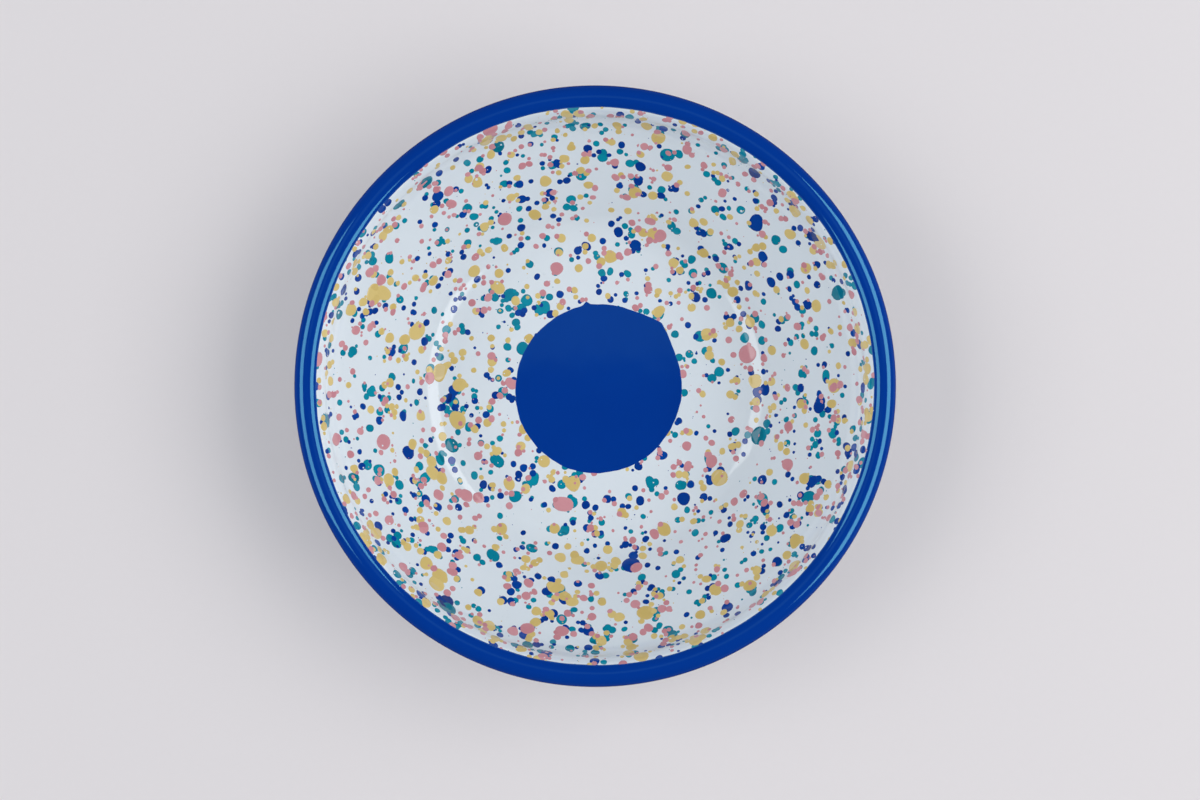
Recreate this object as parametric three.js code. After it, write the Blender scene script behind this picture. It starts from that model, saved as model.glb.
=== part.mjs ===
// Enamelled salad bowl: one pressed steel sheet with a rolled rim, fired with enamel inside, outside,
// over the rim and as a round spot on the floor. Millimetres, +Z up, the underside rests on Z = 0.
import * as THREE from 'three';

// The bowl as a whole, measured over its enamel
const OUTER_DIAMETER = 280;
const OVERALL_HEIGHT = 60;

// The pressed form, on the inner face of the steel
const FLOOR_DIAMETER = 142;
const FLOOR_CORNER_RADIUS = 22;
const UPPER_BEND_RADIUS = 18;
const STEEPEST_LEAN = 86 * THREE.MathUtils.DEG2RAD;
const FLARE_RADIUS = 14;

// The rolled rim, measured over its enamel
const ROLL_WIDTH = 11.6;
const ROLL_HEIGHT = 11;
const ROLL_EDGE_GAP = 1.2;
const BAND_LEAN = 52 * THREE.MathUtils.DEG2RAD;

// Sheet and coats
const STEEL_THICKNESS = 0.8;
const INSIDE_ENAMEL_THICKNESS = 0.35;
const OUTSIDE_ENAMEL_THICKNESS = 0.35;
const RIM_ENAMEL_THICKNESS = 0.35;
const SEAT_CLEARANCE = 0.05;

// The hand-cut spot on the floor
const SPOT_DIAMETER = 83.5;
const SPOT_THICKNESS = 0.15;
const SPOT_OFF_CENTRE = new THREE.Vector2(1.5, -0.8);
const SPOT_OVAL = 0.55;
const SPOT_OVAL_AT = 62 * THREE.MathUtils.DEG2RAD;
const SPOT_CORNER_HEIGHT = 3;
const SPOT_CORNER_AT = 46 * THREE.MathUtils.DEG2RAD;
const SPOT_CORNER_WIDTH = 11 * THREE.MathUtils.DEG2RAD;
const SPOT_POINTS = 72;

// Fineness of the turned surfaces
const TURN_SEGMENTS = 60;
const CORNER_STEPS = 4;
const BEND_STEPS = 6;
const FLARE_STEPS = 4;
const ROLL_STEPS = 12;
const ROLL_EDGE_STEP = THREE.MathUtils.DEG2RAD;

// A station on the steel's inner face: its radius, its height and the unit normal towards the food
function station(radius, height, heading) {
  return { radius, height, normalRadius: -Math.sin(heading), normalHeight: Math.cos(heading) };
}

// Stations along an arc from one heading to another; a negative radius has its centre outside the bowl
function arcStations(centre, radius, startHeading, endHeading, steps) {
  const stations = [];
  for (let step = 0; step <= steps; step += 1) {
    const heading = THREE.MathUtils.lerp(startHeading, endHeading, step / steps);
    const across = centre.x + radius * Math.sin(heading);
    const up = centre.y - radius * Math.cos(heading);
    stations.push(station(across, up, heading));
  }
  return stations;
}

// The rolled rim is nearly round in section: an ellipse walked from the wall over the crest and under
const rimCoat = SEAT_CLEARANCE + RIM_ENAMEL_THICKNESS;
const rollHalfWidth = ROLL_WIDTH / 2 - rimCoat;
const rollHalfHeight = ROLL_HEIGHT / 2 - rimCoat;
const rollCentre = new THREE.Vector2(
  (OUTER_DIAMETER - ROLL_WIDTH) / 2,
  OVERALL_HEIGHT - ROLL_HEIGHT / 2,
);

// Station on the roll at an angle counted from its outermost point; its normal points out of the roll
function rollStation(angle) {
  const across = Math.cos(angle);
  const up = Math.sin(angle);
  const normal = new THREE.Vector2(across / rollHalfWidth, up / rollHalfHeight).normalize();
  return {
    radius: rollCentre.x + rollHalfWidth * across,
    height: rollCentre.y + rollHalfHeight * up,
    normalRadius: normal.x,
    normalHeight: normal.y,
  };
}

// Angle on the inner side of the roll at which its face has a given lean
function rollAngleAtLean(lean) {
  return Math.PI - Math.atan2(rollHalfHeight, rollHalfWidth * Math.tan(lean));
}

// The wall flares into the roll where the blue band starts; below the flare it stands nearly upright
const bandStart = rollAngleAtLean(BAND_LEAN);
const bandFoot = rollStation(bandStart);
const flareCentre = new THREE.Vector2(
  bandFoot.radius - bandFoot.normalRadius * FLARE_RADIUS,
  bandFoot.height - bandFoot.normalHeight * FLARE_RADIUS,
);

// Floor corner and upper bend are circles, joined by the straight flank that touches both
const outsideCoat = SEAT_CLEARANCE + OUTSIDE_ENAMEL_THICKNESS;
const floorHeight = outsideCoat + STEEL_THICKNESS;
const cornerCentre = new THREE.Vector2(FLOOR_DIAMETER / 2, floorHeight + FLOOR_CORNER_RADIUS);
const flareToBend = FLARE_RADIUS + UPPER_BEND_RADIUS;
const bendCentre = new THREE.Vector2(
  flareCentre.x - Math.sin(STEEPEST_LEAN) * flareToBend,
  flareCentre.y + Math.cos(STEEPEST_LEAN) * flareToBend,
);
const centreLine = bendCentre.clone().sub(cornerCentre);
const radiusChange = UPPER_BEND_RADIUS - FLOOR_CORNER_RADIUS;
const flankSlope = centreLine.angle() - Math.asin(radiusChange / centreLine.length());

// The cut edge of the sheet stops under the roll, a set gap short of the enamelled back of the flare
const flareSkinRadius = FLARE_RADIUS - STEEL_THICKNESS - outsideCoat;
function gapBehindRoll(angle) {
  const point = rollStation(angle);
  const across = point.radius + point.normalRadius * rimCoat - flareCentre.x;
  const up = point.height + point.normalHeight * rimCoat - flareCentre.y;
  return flareSkinRadius - Math.hypot(across, up);
}
let rollEnd = -Math.PI / 2;
while (gapBehindRoll(rollEnd - ROLL_EDGE_STEP) > ROLL_EDGE_GAP) {
  rollEnd -= ROLL_EDGE_STEP;
}

// The rim enamel begins a hair past the start of the band, clear of the edge of the inside enamel
const rollSpeed = Math.hypot(rollHalfWidth * Math.sin(bandStart), rollHalfHeight * Math.cos(bandStart));
const rimEnamelStart = bandStart - SEAT_CLEARANCE / rollSpeed;

// All stations of the section, from the axis over the floor, up the wall and round the roll
const section = [station(0, floorHeight, 0)];
section.push(...arcStations(cornerCentre, FLOOR_CORNER_RADIUS, 0, flankSlope, CORNER_STEPS));
section.push(...arcStations(bendCentre, UPPER_BEND_RADIUS, flankSlope, STEEPEST_LEAN, BEND_STEPS));
section.push(...arcStations(flareCentre, -FLARE_RADIUS, STEEPEST_LEAN, BAND_LEAN, FLARE_STEPS).slice(1));
const wallEnd = section.length - 1;
for (let step = 0; step <= ROLL_STEPS; step += 1) {
  section.push(rollStation(THREE.MathUtils.lerp(rimEnamelStart, rollEnd, step / ROLL_STEPS)));
}
const sheetEnd = section.length - 1;

// A layer of the bowl: the stations from first to last turned about the axis, between two offsets
function turnedLayer(first, last, lowOffset, highOffset) {
  const stretch = section.slice(first, last + 1);
  const face = (offset) => stretch.map((at) => new THREE.Vector2(
    at.radius + at.normalRadius * offset,
    at.height + at.normalHeight * offset,
  ));
  const outline = [...face(lowOffset), ...face(highOffset).reverse()];
  if (first > 0) {
    outline.push(outline[0].clone());
  }
  return new THREE.LatheGeometry(outline, TURN_SEGMENTS).rotateX(Math.PI / 2);
}

// The spot: a disc whose hand-cut edge is slightly oval and stands out in one blunt corner
function spotGeometry() {
  const outline = [];
  for (let index = 0; index < SPOT_POINTS; index += 1) {
    const angle = (2 * Math.PI * index) / SPOT_POINTS;
    const oval = SPOT_OVAL * Math.cos(2 * (angle - SPOT_OVAL_AT));
    const fromCorner = (angle - SPOT_CORNER_AT) / SPOT_CORNER_WIDTH;
    const corner = SPOT_CORNER_HEIGHT * Math.exp(-fromCorner * fromCorner);
    const radius = SPOT_DIAMETER / 2 + oval + corner;
    outline.push(new THREE.Vector2(radius * Math.cos(angle), radius * Math.sin(angle)));
  }
  const shape = new THREE.Shape(outline);
  return new THREE.ExtrudeGeometry(shape, { depth: SPOT_THICKNESS, bevelEnabled: false });
}

const finishes = {
  steel: new THREE.MeshStandardMaterial({ color: 0x6f7478, roughness: 0.45, metalness: 1 }),
  whiteEnamel: new THREE.MeshStandardMaterial({ color: 0xdce4ea, roughness: 0.12, metalness: 0 }),
  blueEnamel: new THREE.MeshStandardMaterial({ color: 0x033287, roughness: 0.1, metalness: 0 }),
};

const bowl = new THREE.Group();
bowl.name = 'salad_bowl';

function addPiece(name, geometry, finish) {
  const piece = new THREE.Mesh(geometry, finish);
  piece.name = name;
  bowl.add(piece);
  return piece;
}

const insideSkin = SEAT_CLEARANCE + INSIDE_ENAMEL_THICKNESS;
const outsideSeat = -STEEL_THICKNESS - SEAT_CLEARANCE;
const outsideSkin = -STEEL_THICKNESS - outsideCoat;

addPiece('steel_shell', turnedLayer(0, sheetEnd, -STEEL_THICKNESS, 0), finishes.steel);
addPiece('inside_enamel', turnedLayer(0, wallEnd, SEAT_CLEARANCE, insideSkin), finishes.whiteEnamel);
addPiece('outside_enamel', turnedLayer(0, wallEnd, outsideSkin, outsideSeat), finishes.whiteEnamel);
addPiece('rim_enamel', turnedLayer(wallEnd + 1, sheetEnd, SEAT_CLEARANCE, rimCoat), finishes.blueEnamel);

const spot = addPiece('centre_spot', spotGeometry(), finishes.blueEnamel);
spot.position.set(SPOT_OFF_CENTRE.x, SPOT_OFF_CENTRE.y, floorHeight + insideSkin);

export default bowl;
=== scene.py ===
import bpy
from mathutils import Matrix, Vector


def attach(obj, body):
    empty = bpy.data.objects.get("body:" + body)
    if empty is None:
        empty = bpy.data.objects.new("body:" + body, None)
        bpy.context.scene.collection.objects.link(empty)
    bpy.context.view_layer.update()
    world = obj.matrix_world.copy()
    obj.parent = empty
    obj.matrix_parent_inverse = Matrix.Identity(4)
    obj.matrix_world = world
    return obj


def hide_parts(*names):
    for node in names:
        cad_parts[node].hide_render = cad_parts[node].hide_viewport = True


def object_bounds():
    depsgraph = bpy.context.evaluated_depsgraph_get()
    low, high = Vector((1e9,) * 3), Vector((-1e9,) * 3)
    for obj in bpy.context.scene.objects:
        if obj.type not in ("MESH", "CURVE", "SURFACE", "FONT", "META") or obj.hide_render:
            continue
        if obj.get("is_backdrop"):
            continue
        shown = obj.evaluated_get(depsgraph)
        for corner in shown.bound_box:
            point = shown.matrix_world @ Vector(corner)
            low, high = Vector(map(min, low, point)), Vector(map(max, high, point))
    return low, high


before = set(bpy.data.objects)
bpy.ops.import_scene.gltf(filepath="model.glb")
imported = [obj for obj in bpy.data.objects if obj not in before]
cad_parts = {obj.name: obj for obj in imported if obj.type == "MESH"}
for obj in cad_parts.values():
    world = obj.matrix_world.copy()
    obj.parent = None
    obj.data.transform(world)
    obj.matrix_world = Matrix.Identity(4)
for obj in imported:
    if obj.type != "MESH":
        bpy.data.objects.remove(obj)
cad_low, cad_high = (list(corner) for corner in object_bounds())

import math

import bmesh
import bpy
import numpy as np

# The pressed steel sheet carries the whole bowl: flat floor, rounded corner, straight flank, upper bend, a
# flare, and an edge rolled outwards and under into a hollow bead. It is stamped in one blow and spun at the
# edge, then hidden under enamel, so only the dark inside of the roll ever shows.
RIM_RADIUS = cad_high[0]
BOWL_HEIGHT = cad_high[2]
FLOOR_RADIUS = 0.071
CORNER_RADIUS = 0.022
BEND_RADIUS = 0.018
STEEPEST_LEAN = math.radians(86)
FLARE_RADIUS = 0.014
BAND_LEAN = math.radians(52)
ROLL_HALF_WIDTH = 0.0054
ROLL_HALF_HEIGHT = 0.0051
ROLL_END = math.radians(-143)
ROLL_SPARE = 0.1
ROLL_SAMPLES = 400
STEEL = 0.0008
COAT = 0.0004

roll_centre = np.array([RIM_RADIUS - COAT - ROLL_HALF_WIDTH, BOWL_HEIGHT - COAT - ROLL_HALF_HEIGHT])
roll_start = math.pi - math.atan2(ROLL_HALF_HEIGHT, ROLL_HALF_WIDTH * math.tan(BAND_LEAN))
roll_angles = np.linspace(roll_start, ROLL_END - ROLL_SPARE, ROLL_SAMPLES)


def roll_section(angle):
    """Ellipse of the roll: the point at an angle from its outermost place, and the unit normal out of it."""
    point = np.stack([np.cos(angle) * ROLL_HALF_WIDTH, np.sin(angle) * ROLL_HALF_HEIGHT], -1) + roll_centre
    normal = np.stack([np.cos(angle) / ROLL_HALF_WIDTH, np.sin(angle) / ROLL_HALF_HEIGHT], -1)
    return point, normal / np.linalg.norm(normal, axis=-1, keepdims=True)


def food_normal(heading):
    """Unit normal to the food side of a sheet that climbs outwards at a heading."""
    return np.stack([-np.sin(heading), np.cos(heading)], -1)


roll_foot, roll_foot_normal = roll_section(np.array(roll_start))
floor_height = STEEL + COAT
corner_centre = np.array([FLOOR_RADIUS, floor_height + CORNER_RADIUS])
flare_centre = roll_foot - roll_foot_normal * FLARE_RADIUS
bend_centre = flare_centre + food_normal(STEEPEST_LEAN) * (FLARE_RADIUS + BEND_RADIUS)
between = bend_centre - corner_centre
radius_change = BEND_RADIUS - CORNER_RADIUS
flank_slope = math.atan2(between[1], between[0]) - math.asin(radius_change / np.hypot(*between))
FLOOR_END = FLOOR_RADIUS
CORNER_END = FLOOR_END + CORNER_RADIUS * flank_slope
FLANK_END = CORNER_END + math.sqrt(between @ between - radius_change ** 2)
BEND_END = FLANK_END + BEND_RADIUS * (STEEPEST_LEAN - flank_slope)
WALL_END = BEND_END + FLARE_RADIUS * (STEEPEST_LEAN - BAND_LEAN)
roll_steps = np.linalg.norm(np.diff(roll_section(roll_angles)[0], axis=0), axis=1)
roll_walk = WALL_END + np.concatenate([[0], np.cumsum(roll_steps)])
SHEET_END = np.interp(-ROLL_END, -roll_angles, roll_walk)


def pressed_section(walk):
    """Section of the sheet's inner face at a distance walked from the axis: level floor, arc, straight flank,
    arc, counter-arc, then the ellipse of the roll. Gives the point (across, up) and the normal there."""
    walk = np.asarray(walk, float)
    stops = [FLOOR_END, CORNER_END, FLANK_END, BEND_END, WALL_END]
    heading = np.interp(walk, stops, [0, flank_slope, flank_slope, STEEPEST_LEAN, BAND_LEAN])
    normal = food_normal(heading)
    floor = np.stack([walk, np.full_like(walk, floor_height)], -1)
    corner = corner_centre - normal * CORNER_RADIUS
    past_corner = (walk - CORNER_END)[..., None]
    flank = corner + past_corner * np.array([math.cos(flank_slope), math.sin(flank_slope)])
    bend = bend_centre - normal * BEND_RADIUS
    flare = flare_centre + normal * FLARE_RADIUS
    roll, roll_normal = roll_section(np.interp(walk, roll_walk, roll_angles))
    place = walk[..., None]
    point = np.select([place < stop for stop in stops], [floor, corner, flank, bend, flare], roll)
    return point, np.where(place < WALL_END, normal, roll_normal)


def on_bowl(walk, around, lift):
    """Point on the bowl: the section at a walked distance, raised off the steel by lift, turned by around."""
    walk, around, lift = np.broadcast_arrays(walk, around, lift)
    point, normal = pressed_section(walk)
    section = point + normal * lift[..., None]
    across = section[..., 0]
    return np.stack([across * np.cos(around), across * np.sin(around), section[..., 1]], -1)


class Term:
    """One output of a node tree, used in sums: each operator adds a Math node and wraps its result."""

    def __init__(self, nodes, socket):
        self.nodes = nodes
        self.socket = socket

    def math(self, operation, *terms):
        """Math node that does one operation on its terms, in their order."""
        return self.nodes.node("ShaderNodeMath", {"operation": operation}, *terms)

    def __add__(self, other):
        return self.math("ADD", self, other)

    def __sub__(self, other):
        return self.math("SUBTRACT", self, other)

    def __rsub__(self, other):
        return self.math("SUBTRACT", other, self)

    def __mul__(self, other):
        return self.math("MULTIPLY", self, other)

    def __pow__(self, other):
        return self.math("POWER", self, other)

    def __rpow__(self, other):
        return self.math("POWER", other, self)

    __radd__ = __add__
    __rmul__ = __mul__


class NodeTree:
    """Node tree of a material or of the room, whose nodes all come from one method."""

    def __init__(self, tree):
        self.tree = tree

    def join(self, value, socket):
        """Feeds a socket: a term is linked to it, and a number or colour is set on it."""
        if isinstance(value, Term):
            self.tree.links.new(value.socket, socket)
        else:
            socket.default_value = value

    def node(self, kind, settings, *inputs, out=0, **named):
        """Any node: its settings first, then its sockets by order or by name. Gives one of its outputs."""
        made = self.tree.nodes.new(kind)
        for setting, value in settings.items():
            setattr(made, setting, value)
        for value, socket in zip(inputs, (socket for socket in made.inputs if socket.enabled)):
            self.join(value, socket)
        for socket, value in named.items():
            self.join(value, made.inputs[socket.replace("_", " ")])
        outputs = [socket for socket in made.outputs if socket.enabled]
        return Term(self, outputs[out])


class Finish(NodeTree):
    """A material around one Principled shader, whose constants are set on the shader's own sockets."""

    def __init__(self, name, **constants):
        self.material = bpy.data.materials.new(name)
        self.material.use_nodes = True
        super().__init__(self.material.node_tree)
        self.shader = self.tree.nodes["Principled BSDF"]
        for socket, value in constants.items():
            self.set(socket.replace("_", " "), value)

    def noise(self, scale, detail):
        """Cloudy pattern on Object coordinates: its scale in waves per metre, its detail in octaves."""
        place = self.node("ShaderNodeTexCoord", {}, out=3)
        return self.node("ShaderNodeTexNoise", {}, Vector=place, Scale=scale, Detail=detail)

    def mix(self, share, first, second):
        """Colour between two colours, by a share from 0 to 1."""
        return self.node("ShaderNodeMix", {"data_type": "RGBA"}, share, first, second)

    def set(self, socket, value):
        """Feeds one of the shader's own sockets."""
        self.join(value, self.shader.inputs[socket])

    def bump(self, height, strength, distance):
        """Relief of the surface by a height pattern, through a Bump node."""
        relief = self.node("ShaderNodeBump", {}, Height=height, Strength=strength, Distance=distance)
        self.set("Normal", relief)


def srgb(red, green, blue):
    """Linear colour from screen levels of 0 to 255: a straight line at first, then a power of 2.4."""
    level = np.array([red, green, blue]) / 255
    linear = np.where(level <= 0.04045, level / 12.92, ((level + 0.055) / 1.055) ** 2.4)
    return (*linear.tolist(), 1.0)


STEEL_DARK = srgb(48, 52, 60)
STEEL_LIGHT = srgb(98, 102, 108)
STEEL_MARKS = 260.0
STEEL_SMOOTHEST = 0.3
STEEL_ROUGHENING = 0.3
STEEL_RELIEF = 0.0002

steel_finish = Finish("pressed_steel", Metallic=0.9, IOR=1.5)
scale_marks = steel_finish.noise(STEEL_MARKS, detail=4.0)
steel_finish.set("Base Color", steel_finish.mix(scale_marks, STEEL_DARK, STEEL_LIGHT))
steel_finish.set("Roughness", scale_marks * STEEL_ROUGHENING + STEEL_SMOOTHEST)
steel_finish.bump(scale_marks, strength=0.2, distance=STEEL_RELIEF)

steel_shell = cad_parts["steel_shell"]
steel_shell.data.materials.clear()
steel_shell.data.materials.append(steel_finish.material)

# The inside enamel is a bluish white glass coat over floor and wall, sprayed on as slip and fired till it
# flows. It is smooth and glossy, with the faint orange peel of fired glass.
AROUND = 288
# Rows of points on floor, corner, flank, bend, flare and roll, for a coat's skin and for its hidden back
SKIN_ROWS = (10, 20, 12, 24, 16, 4)
BACK_ROWS = (3, 8, 3, 8, 5, 2)
COAT_SEAT = 0.1 * COAT
LINING_LAP = 0.0012
ENAMEL_WHITE = srgb(231, 237, 241)
ENAMEL_SHADE = srgb(227, 234, 239)
ENAMEL_CLOUDS = 28.0
ENAMEL_ROUGHNESS = 0.08
ENAMEL_IOR = 1.6
PEEL_SWELL = 55.0
PEEL_RIPPLE = 420.0
PEEL_RIPPLE_SHARE = 0.12
PEEL_HEIGHT = 0.0012
COAT_PEEL = 0.05


def turned_piece(name, walk, lift, finish):
    """Closed ring or dish: a section outline, given as walked distance and lift, carried round the axis."""
    around = np.linspace(0, 2 * np.pi, AROUND, endpoint=False)
    points = on_bowl(walk[:, None], around[None, :], lift[:, None])
    return grid_piece(name, points, finish)


def grid_piece(name, points, finish):
    """Closed surface through a grid of points, joined end to end along both of its directions."""
    rows, columns = points.shape[:2]
    index = np.arange(rows * columns).reshape(rows, columns)
    right = np.roll(index, -1, axis=1)
    faces = np.stack([index, right, np.roll(right, -1, axis=0), np.roll(index, -1, axis=0)], -1)
    return solid_piece(name, points.reshape(-1, 3), faces.reshape(-1, 4).tolist(), finish)


def solid_piece(name, points, faces, finish):
    """Mesh of a closed skin: doubled points are merged, faces turned outwards and shaded smooth."""
    mesh = bpy.data.meshes.new(name)
    mesh.from_pydata(points.tolist(), [], faces)
    work = bmesh.new()
    work.from_mesh(mesh)
    bmesh.ops.remove_doubles(work, verts=work.verts, dist=1e-7)
    bmesh.ops.dissolve_degenerate(work, edges=work.edges, dist=1e-8)
    bmesh.ops.recalc_face_normals(work, faces=work.faces)
    work.to_mesh(mesh)
    work.free()
    mesh.polygons.foreach_set("use_smooth", np.ones(len(mesh.polygons), bool))
    return bowl_piece(name, mesh, finish)


def bowl_piece(name, mesh, finish):
    """Piece of the bowl's one body, made of a mesh in a finish."""
    mesh.materials.append(finish.material)
    piece = bpy.data.objects.new(name, mesh)
    bpy.context.scene.collection.objects.link(piece)
    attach(piece, "root")
    return piece


def walk_rows(end, counts):
    """Walked distances from the axis to an end on the roll, by a count of rows for each part of the wall."""
    stops = [0, FLOOR_END, CORNER_END, FLANK_END, BEND_END, WALL_END, end]
    parts = [np.linspace(a, b, n, endpoint=False) for a, b, n in zip(stops, stops[1:], counts)]
    return np.concatenate([*parts, [end]])


def coat_outline(end, skin, back):
    """Section outline of a coat from the axis to its edge: out along the skin, home along the back."""
    out = walk_rows(end, SKIN_ROWS)
    home = walk_rows(end, BACK_ROWS)[::-1]
    lift = np.concatenate([np.full(len(out), skin), np.full(len(home), back)])
    return np.concatenate([out, home]), lift


def orange_peel(finish, strength):
    """Relief of fired glass: long soft waves with a finer ripple."""
    swell = finish.noise(PEEL_SWELL, detail=1.0)
    ripple = finish.noise(PEEL_RIPPLE, detail=2.0)
    finish.bump(swell + ripple * PEEL_RIPPLE_SHARE, strength, PEEL_HEIGHT)


def white_finish(name):
    """White glass coat: two near shades in soft clouds, with orange peel."""
    finish = Finish(name, Roughness=ENAMEL_ROUGHNESS, IOR=ENAMEL_IOR, Specular_IOR_Level=0.5)
    cloud = finish.noise(ENAMEL_CLOUDS, detail=3.0)
    finish.set("Base Color", finish.mix(cloud, ENAMEL_WHITE, ENAMEL_SHADE))
    orange_peel(finish, COAT_PEEL)
    return finish


lining_finish = white_finish("white_enamel")
lining_walk, lining_lift = coat_outline(WALL_END + LINING_LAP, COAT, COAT_SEAT)
lining = turned_piece("inside_enamel_skin", lining_walk, lining_lift, lining_finish)
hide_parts("inside_enamel")

# The splatter is four colours of enamel flicked off a brush, teal first, then blue, yellow and pink, each a
# thin drop that drew itself round before firing. Drops touch, run together and lie over one another, with
# specks between them and a last fine spray of white.
DROP_AROUND = 16
# A drop's dome: its rings, in shares of the outline, and its height on each, in shares of the full height
DROP_RINGS = np.array([0.0, 0.34, 0.66, 0.93, 1.06])
DROP_DOME = np.array([1.0, 0.99, 0.95, 0.7, -0.6])
DROP_RADII = (0.00022, 0.0046)
DROP_WAVES = ((2, 0.06), (3, 0.024), (4, 0.012))
WAVY_DROP = 0.0018
WAVE_LIMITS = (0.5, 1.5)
DROP_RUN = 0.45
TWIN_SHARE = 0.14
TWIN_GAPS = (0.75, 1.02)
SPECK_SHARE = 0.22
SPECK_RADII = (0.00014, 0.00034)
SPLATTER_FROM = 0.034
SPLATTER_LAP = 0.0006
SPLATTER_TO = WALL_END + SPLATTER_LAP
SPLATTER_SAMPLES = 500
SPLATTER_SEED = 41
THROWS_PER_DROP = 6
PATCH_LENGTHS = (0.09, 0.06, 0.04, 0.03, 0.022)
PATCH_STRENGTH = 0.6
DROP_GRAIN = 900.0
DROP_TONE = 0.75
DROP_EDGE = 0.55
DROP_EDGE_POWER = 9.0
DROP_PEEL = 0.04


def patchiness(points, random):
    """Uneven throw of the brush: the mean of soft waves of set lengths and random directions."""
    field = np.zeros(len(points))
    for length in PATCH_LENGTHS:
        direction = random.uniform(0, 2 * np.pi)
        across = points[:, 0] * math.cos(direction) + points[:, 1] * math.sin(direction)
        field += np.cos(2 * np.pi * across / length + random.uniform(0, 2 * np.pi))
    return field / len(PATCH_LENGTHS)


def scattered(count, upward, random):
    """Places on the inside, even by area but thinned by the patchiness, and closer together up the wall."""
    walk = np.linspace(SPLATTER_FROM, SPLATTER_TO, SPLATTER_SAMPLES)
    across = pressed_section(walk)[0][:, 0]
    share = np.cumsum(across * np.interp(walk, [FLOOR_END, WALL_END], [1.0, upward]))
    tries = THROWS_PER_DROP * count
    place = np.interp(random.uniform(share[0], share[-1], tries), share, walk)
    around = random.uniform(0, 2 * np.pi, tries)
    field = patchiness(on_bowl(place, around, 0.0), np.random.default_rng(SPLATTER_SEED))
    kept = np.flatnonzero(random.uniform(0, 1, tries) < np.exp(PATCH_STRENGTH * (field - 1)))[:count]
    return place[kept], around[kept]


def drop_outlines(radius, random):
    """Outline of each drop: a circle with a few soft waves round it, stronger on the large drops."""
    turn = np.linspace(0, 2 * np.pi, DROP_AROUND, endpoint=False)
    size = np.clip(radius / WAVY_DROP, *WAVE_LIMITS)[:, None]
    outline = np.ones((len(radius), DROP_AROUND))
    for waves, strength in DROP_WAVES:
        height = np.abs(random.normal(0, strength, (len(radius), 1))) * size
        outline += height * np.cos(waves * turn + random.uniform(0, 2 * np.pi, (len(radius), 1)))
    return outline, turn


def splatter(name, finish, random, count, width, spread, upward, height):
    """Drops of one colour, by count, usual width, spread of widths, crowding up the wall and height. Each is
    a low dome laid on the bowl: its outline is scaled by rings from the middle, measured along and round the
    wall, and the dome falls to just under the lining at its edge."""
    specks = int(SPECK_SHARE * count)
    place, around = scattered(count + specks, upward, random)
    radius = np.clip(0.5 * width * np.exp(spread * random.normal(size=count)), *DROP_RADII)
    radius = np.concatenate([radius, random.uniform(*SPECK_RADII, specks)])
    count = len(place)
    partner = random.integers(0, count, count)
    joined = random.uniform(0, 1, count) < TWIN_SHARE
    toward = random.uniform(0, 2 * np.pi, count)
    apart = (radius + radius[partner]) * random.uniform(*TWIN_GAPS, count)
    circle = pressed_section(place)[0][:, 0]
    place = np.where(joined, place[partner] + apart * np.sin(toward), place)
    around = np.where(joined, around[partner] + apart * np.cos(toward) / circle[partner], around)
    place = np.clip(place, SPLATTER_FROM, SPLATTER_TO)
    outline, turn = drop_outlines(radius, random)
    reach = radius[:, None, None] * outline[:, None, :] * DROP_RINGS[None, :, None]
    run = np.interp(place, [FLANK_END, BEND_END, WALL_END], [1.0, 1.0 + DROP_RUN, 1.0])
    walk = place[:, None, None] + reach * np.sin(turn) * run[:, None, None]
    circle = pressed_section(place)[0][:, 0]
    angle = around[:, None, None] + reach * np.cos(turn) / circle[:, None, None]
    lift = COAT + np.broadcast_to((DROP_DOME * height)[None, :, None], walk.shape)
    return drop_mesh(name, on_bowl(walk, angle, lift), random, finish)


def drop_mesh(name, points, random, finish):
    """All drops of one colour in one mesh: a fan at the middle, rings of quads round it, and a flat back."""
    count, rings, sides = points.shape[:3]
    middle = points[:, 0, :1]
    body = points[:, 1:].reshape(count, -1, 3)
    stride = 1 + (rings - 1) * sides
    vertices = np.concatenate([middle, body], 1).reshape(-1, 3)
    first = (np.arange(count) * stride)[:, None]
    side = np.arange(sides)
    following = (side + 1) % sides
    fan = np.stack(np.broadcast_arrays(first, first + 1 + side, first + 1 + following), -1).reshape(-1, 3)
    bands = []
    for ring in range(rings - 2):
        low = first + 1 + ring * sides
        high = low + sides
        quad = [low + side, high + side, high + following, low + following]
        bands.append(np.stack(quad, -1).reshape(-1, 4))
    back = first + 1 + (rings - 2) * sides + side[::-1]
    faces = fan.tolist() + np.concatenate(bands).tolist() + back.tolist()
    mesh = bpy.data.meshes.new(name)
    mesh.from_pydata(vertices.tolist(), [], faces)
    smooth = np.ones(len(faces), bool)
    smooth[-count:] = False
    mesh.polygons.foreach_set("use_smooth", smooth)
    tone = mesh.attributes.new("tone", "FLOAT", "POINT")
    tone.data.foreach_set("value", np.repeat(random.uniform(0, 1, count), stride))
    edge = mesh.attributes.new("edge", "FLOAT", "POINT")
    ring_place = np.concatenate([[DROP_RINGS[0]], np.repeat(DROP_RINGS[1:], sides)])
    edge.data.foreach_set("value", np.tile(ring_place, count))
    piece = bowl_piece(name, mesh, finish)
    return piece


def drop_finish(name, light, deep, rim_colour):
    """Glossy enamel of a drop: its own tone between two shades, and a third where it thins at the edge."""
    finish = Finish(name, Roughness=ENAMEL_ROUGHNESS, IOR=ENAMEL_IOR, Specular_IOR_Level=0.5)
    tone = finish.node("ShaderNodeAttribute", {"attribute_name": "tone"}, out=2)
    edge = finish.node("ShaderNodeAttribute", {"attribute_name": "edge"}, out=2)
    grain = finish.noise(DROP_GRAIN, detail=2.0)
    shade = finish.mix(tone * DROP_TONE + grain * (1 - DROP_TONE), light, deep)
    finish.set("Base Color", finish.mix(edge ** DROP_EDGE_POWER * DROP_EDGE, shade, rim_colour))
    orange_peel(finish, DROP_PEEL)
    return finish


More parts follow.
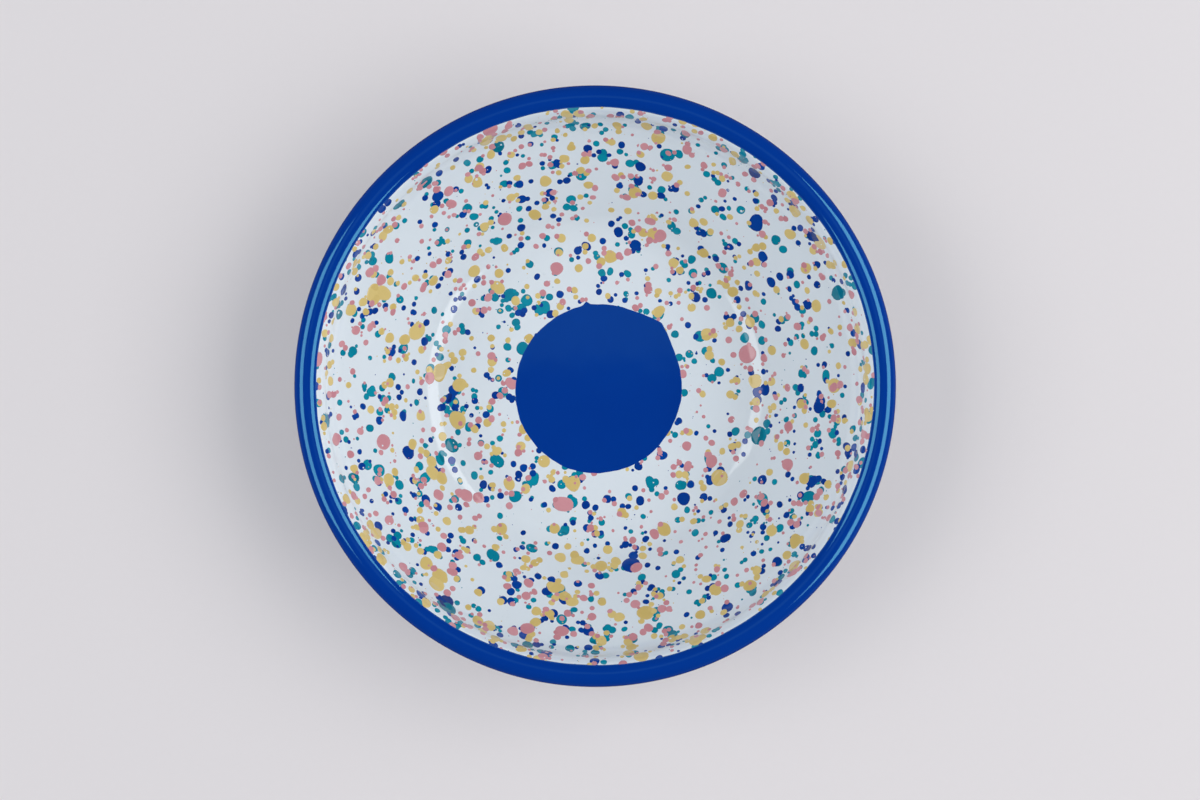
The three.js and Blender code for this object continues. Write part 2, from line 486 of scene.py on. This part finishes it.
teal = drop_finish("teal_enamel", srgb(4, 150, 172), srgb(0, 128, 154), srgb(0, 116, 138))
blue = drop_finish("blue_drop_enamel", srgb(0, 72, 164), srgb(0, 52, 140), srgb(0, 44, 120))
yellow = drop_finish("yellow_enamel", srgb(229, 203, 132), srgb(213, 184, 108), srgb(222, 199, 146))
white = drop_finish("white_speck_enamel", ENAMEL_WHITE, ENAMEL_SHADE, ENAMEL_SHADE)
pink = drop_finish("pink_enamel", srgb(218, 154, 160), srgb(202, 132, 140), srgb(212, 154, 160))
brush = np.random.default_rng(SPLATTER_SEED + 1)
splatter("teal_drops", teal, brush, count=790, width=0.0029, spread=0.36, upward=1.0, height=0.00003)
splatter("blue_drops", blue, brush, count=770, width=0.00265, spread=0.39, upward=1.05, height=0.00005)
splatter("yellow_drops", yellow, brush, count=800, width=0.0031, spread=0.44, upward=1.15, height=0.00007)
splatter("pink_drops", pink, brush, count=1080, width=0.0023, spread=0.42, upward=1.35, height=0.00009)
splatter("white_specks", white, brush, count=420, width=0.0006, spread=0.3, upward=1.0, height=0.00011)

# The spot is a disc of deep blue enamel laid by hand on the floor over the splatter and fired last. Its edge
# was cut freehand: slightly wavy, with one blunt corner and a small nib, and rounded over by its own melt.
SPOT_RADIUS = 0.04175
SPOT_HEIGHT = 0.00015
SPOT_MIDDLE = (0.0015, -0.0008)
SPOT_OVAL = 0.00055
SPOT_OVAL_AT = math.radians(62)
SPOT_CORNER = dict(at=math.radians(46), width=math.radians(10.5), height=0.0031, power=1.3)
SPOT_NIB = dict(at=math.radians(98), width=math.radians(1.8), height=0.0016, power=2)
SPOT_RIPPLES = ((7, 0.00012, 0.4), (17, 0.00007, 2.1), (31, 0.00005, 4.4), (53, 0.00004, 1.2))
SPOT_AROUND = 360
SPOT_ROWS = 14
SPOT_EDGE = 0.0005
# The melted edge, from its shoulder out: shares of SPOT_EDGE inwards and of SPOT_HEIGHT down
SPOT_EDGE_INSET = np.array([1, 0.6, 0.3, 0.15, 0.06, 0.0, 0.0])
SPOT_EDGE_SUNK = np.array([0.0, 0.03, 0.12, 0.25, 0.45, 0.75, 1.1])
SPOT_BACK = np.array([0.98, 0.5, 0.0])
SPOT_BACK_SUNK = 1.1
ENAMEL_BLUE = srgb(0, 57, 154)
ENAMEL_DEEP_BLUE = srgb(0, 52, 147)
BLUE_CLOUDS = 34.0
BLUE_GLOSS = (0.25, 0.9, 1.0, 1.0)

blue_enamel = Finish("blue_enamel", Roughness=ENAMEL_ROUGHNESS, IOR=ENAMEL_IOR, Specular_IOR_Level=1.0,
                     Specular_Tint=BLUE_GLOSS)
depth = blue_enamel.noise(BLUE_CLOUDS, detail=3.0)
blue_enamel.set("Base Color", blue_enamel.mix(depth, ENAMEL_BLUE, ENAMEL_DEEP_BLUE))
orange_peel(blue_enamel, COAT_PEEL)


def bulge(angle, at, width, height, power):
    """Local swelling of an outline: a bell over the angle, round for a power of 2 and peaked for less."""
    away = np.abs(np.angle(np.exp(1j * (angle - at))))
    return height * np.exp(-(away / width) ** power)


def spot_outline(angle):
    """Hand-cut edge: a slightly oval circle with one blunt corner, a nib and a fine ragged ripple."""
    radius = SPOT_RADIUS + SPOT_OVAL * np.cos(2 * (angle - SPOT_OVAL_AT))
    radius = radius + bulge(angle, **SPOT_CORNER)
    radius = radius + bulge(angle, **SPOT_NIB)
    for waves, height, phase in SPOT_RIPPLES:
        radius = radius + height * np.cos(waves * angle + phase)
    return radius


spot_angle = np.linspace(0, 2 * np.pi, SPOT_AROUND, endpoint=False)
spot_edge = spot_outline(spot_angle)
middle_rings = np.linspace(0, 1, SPOT_ROWS, endpoint=False)[:, None] * (spot_edge - SPOT_EDGE)
edge_rings = spot_edge - SPOT_EDGE * SPOT_EDGE_INSET[:, None]
back_rings = SPOT_BACK[:, None] * spot_edge
spot_reach = np.concatenate([middle_rings, edge_rings, back_rings])
back_sunk = np.full(len(back_rings), SPOT_BACK_SUNK)
spot_sunk = np.concatenate([np.zeros(len(middle_rings)), SPOT_EDGE_SUNK, back_sunk])
spot_up = floor_height + COAT + SPOT_HEIGHT * (1 - spot_sunk)
spot_points = np.stack([
    SPOT_MIDDLE[0] + spot_reach * np.cos(spot_angle),
    SPOT_MIDDLE[1] + spot_reach * np.sin(spot_angle),
    np.broadcast_to(spot_up[:, None], spot_reach.shape),
], -1)
spot = grid_piece("centre_spot_enamel", spot_points, blue_enamel)
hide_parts("centre_spot")

# The outside enamel is the same white glass coat on the outer wall and the underside, on which the bowl
# stands. It runs up behind the roll, where the sheet's edge hides it.
outside_finish = white_finish("outside_white_enamel")
outside_walk, outside_lift = coat_outline(WALL_END, -STEEL - COAT, -STEEL - COAT_SEAT)
outside = turned_piece("outside_enamel_skin", outside_walk, outside_lift, outside_finish)
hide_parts("outside_enamel")

# The rim enamel is a band of deep blue glass brushed over the roll and fired with the spot. It laps over the
# lining in a slightly wavy line, wraps the roll and hooks round the sheet's cut edge underneath.
RIM_LAP = 0.0003
RIM_RISE = 0.00012
RIM_ROWS = 60
RIM_BACK_ROWS = 24
# The band's rounded lip: shares of the way over the roll, and of RIM_RISE
LIP_AT = [0.0, 0.006, 0.02, 0.05, 1.0]
LIP_RISE = [-0.3, 0.55, 0.9, 1.0, 1.0]
LAP_WAVES = np.array([2, 3, 5, 8, 13, 21, 34, 47])[:, None]
LAP_WAVER = 0.00022
LAP_FINER = 0.45
LAP_SEED = 7
HOOK = 0.0016
# The hook, in shares of HOOK along the sheet: past its cut edge, back under it, and home to the edge
HOOK_AT = np.array([0.12, 0.14, 0.12, 0.0, -0.5, -1.0, -1.0, 0.0, 0.0])
HOOK_FRONT = [0.5 * COAT, -0.5 * STEEL, -STEEL - 0.5 * COAT]
HOOK_SKIN = -STEEL - 0.6 * COAT
HOOK_SEAT = -STEEL - 0.05 * COAT


def lap_line(angle):
    """Where the band begins on the wall: a walked distance that wavers round the bowl in a sum of waves."""
    random = np.random.default_rng(LAP_SEED)
    height = LAP_WAVER / LAP_WAVES ** LAP_FINER * random.normal(size=LAP_WAVES.shape)
    phase = random.uniform(0, 2 * np.pi, LAP_WAVES.shape)
    return WALL_END - RIM_LAP + (height * np.cos(LAP_WAVES * angle + phase)).sum(0)


rim_angle = np.linspace(0, 2 * np.pi, AROUND, endpoint=False)
band_edge = lap_line(rim_angle)
over = np.linspace(0, 1, RIM_ROWS)
home = np.linspace(1, 0, RIM_BACK_ROWS)[1:]
lip = np.interp(over, LIP_AT, LIP_RISE)
hook_walk = SHEET_END + HOOK * HOOK_AT
hook_lift = np.array([*HOOK_FRONT, *[HOOK_SKIN] * 3, *[HOOK_SEAT] * 2, COAT_SEAT])
rim_walk = np.concatenate([
    band_edge + over[:, None] * (SHEET_END - band_edge),
    np.repeat(hook_walk[:, None], AROUND, 1),
    band_edge + home[:, None] * (SHEET_END - band_edge),
])
rim_lift = np.concatenate([COAT + RIM_RISE * lip, hook_lift, np.full(len(home), COAT_SEAT)])
rim = grid_piece("rim_enamel_band", on_bowl(rim_walk, rim_angle, rim_lift[:, None]), blue_enamel)
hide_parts("rim_enamel")

# The table top under the bowl is a plain pale board. Two wide soft lamps stand left and right of it, the
# right one broader and stronger, with pale walls behind them and an even pale room that fill the shadows.
# Table and room mirror only dimly in the enamel, and the walls not at all.
FLOOR_REACH = 4.0
FLOOR_COLOUR = srgb(231, 224, 223)
FLOOR_SHADE = srgb(226, 219, 218)
FLOOR_IN_GLOSS = srgb(70, 68, 68)
FLOOR_GRAIN = 300.0
FLOOR_MOTTLE = 0.3
LAMP_COLOUR = (1.0, 0.99, 0.98)
RIGHT = 0
FAR = 90
LEFT = 180
LAMP_RISE = 44
LAMP_DISTANCE = 2.4
CEILING_RISE = 80
WALL_RISE = 12
WALL_DISTANCE = 3.8
WALL_SIZE = (4.75, 1.27)
ROOM_FILL = (0.375, 0.42, 0.475, 1.0)
ROOM_IN_GLOSS = 0.1

floor_corners = [(-1, -1, 0), (1, -1, 0), (1, 1, 0), (-1, 1, 0)]
floor_mesh = bpy.data.meshes.new("table_top")
floor_mesh.from_pydata((FLOOR_REACH * np.array(floor_corners)).tolist(), [], [(0, 1, 2, 3)])
floor_finish = Finish("table_board", Roughness=0.7)
board_grain = floor_finish.noise(FLOOR_GRAIN, detail=3.0)
board = floor_finish.mix(board_grain * FLOOR_MOTTLE, FLOOR_COLOUR, FLOOR_SHADE)
board_in_gloss = floor_finish.node("ShaderNodeLightPath", {}, out=3)
floor_finish.set("Base Color", floor_finish.mix(board_in_gloss, board, FLOOR_IN_GLOSS))
floor_mesh.materials.append(floor_finish.material)
floor = bpy.data.objects.new("table_top", floor_mesh)
bpy.context.scene.collection.objects.link(floor)
floor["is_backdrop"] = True


def soft_lamp(name, azimuth, elevation, distance, size, brightness, mirrored=True):
    """Soft lamp that faces the bowl from an azimuth (from +X) and an elevation, in degrees. Its power is its
    brightness, where white is 1, times its area and pi. A wall that only fills isn't mirrored."""
    lamp = bpy.data.lights.new(name, "AREA")
    lamp.shape = "RECTANGLE"
    lamp.size, lamp.size_y = size
    lamp.energy = brightness * math.pi * size[0] * size[1]
    lamp.color = LAMP_COLOUR
    side, rise = math.radians(azimuth), math.radians(elevation)
    flat = distance * math.cos(rise)
    body = bpy.data.objects.new(name, lamp)
    body.location = (flat * math.cos(side), flat * math.sin(side), distance * math.sin(rise))
    body.rotation_euler = (math.pi / 2 - rise, 0, side + math.pi / 2)
    body.visible_glossy = mirrored
    bpy.context.scene.collection.objects.link(body)


soft_lamp("right_lamp", RIGHT, LAMP_RISE, LAMP_DISTANCE, size=(2.8, 1.3), brightness=2.7)
soft_lamp("left_lamp", LEFT, LAMP_RISE, LAMP_DISTANCE, size=(1.9, 1.2), brightness=2.35)
soft_lamp("ceiling_bounce", FAR, CEILING_RISE, LAMP_DISTANCE, size=(1.6, 0.7), brightness=0.12)
soft_lamp("right_wall", RIGHT, WALL_RISE, WALL_DISTANCE, WALL_SIZE, brightness=1.45, mirrored=False)
soft_lamp("left_wall", LEFT, WALL_RISE, WALL_DISTANCE, WALL_SIZE, brightness=1.3, mirrored=False)

world = bpy.data.worlds.new("room")
world.use_nodes = True
bpy.context.scene.world = world
room = NodeTree(world.node_tree)
background = room.tree.nodes["Background"]
room_in_gloss = room.node("ShaderNodeLightPath", {}, out=3)
room.join(ROOM_FILL, background.inputs["Color"])
room.join(1.0 - room_in_gloss * (1.0 - ROOM_IN_GLOSS), background.inputs["Strength"])
bpy.context.scene.view_settings.view_transform = "Standard"

# The camera looks straight down from a little off the bowl's axis, with the whole rim in view. Its lens is
# worked out from the picture's width and from how much of a metre one pixel covers at the rim.
SENSOR_WIDTH = 36
CAMERA_HEIGHT = 0.778
PHOTO_WIDTH = 1200
PHOTO_HEIGHT = 800
RIM_IN_PHOTO = 600.8
BOWL_IN_PHOTO = (595.15, 386.2)
PHOTO_SCALE = 2 * RIM_RADIUS / RIM_IN_PHOTO

camera_data = bpy.data.cameras.new("photo_camera")
camera_data.sensor_width = SENSOR_WIDTH
camera_data.lens = SENSOR_WIDTH * CAMERA_HEIGHT / (PHOTO_WIDTH * PHOTO_SCALE)
camera = bpy.data.objects.new("photo_camera", camera_data)
camera.location = (
    (PHOTO_WIDTH / 2 - BOWL_IN_PHOTO[0]) * PHOTO_SCALE,
    (BOWL_IN_PHOTO[1] - PHOTO_HEIGHT / 2) * PHOTO_SCALE,
    BOWL_HEIGHT - COAT - ROLL_HALF_HEIGHT + CAMERA_HEIGHT,
)
bpy.context.scene.collection.objects.link(camera)
bpy.context.scene.camera = camera
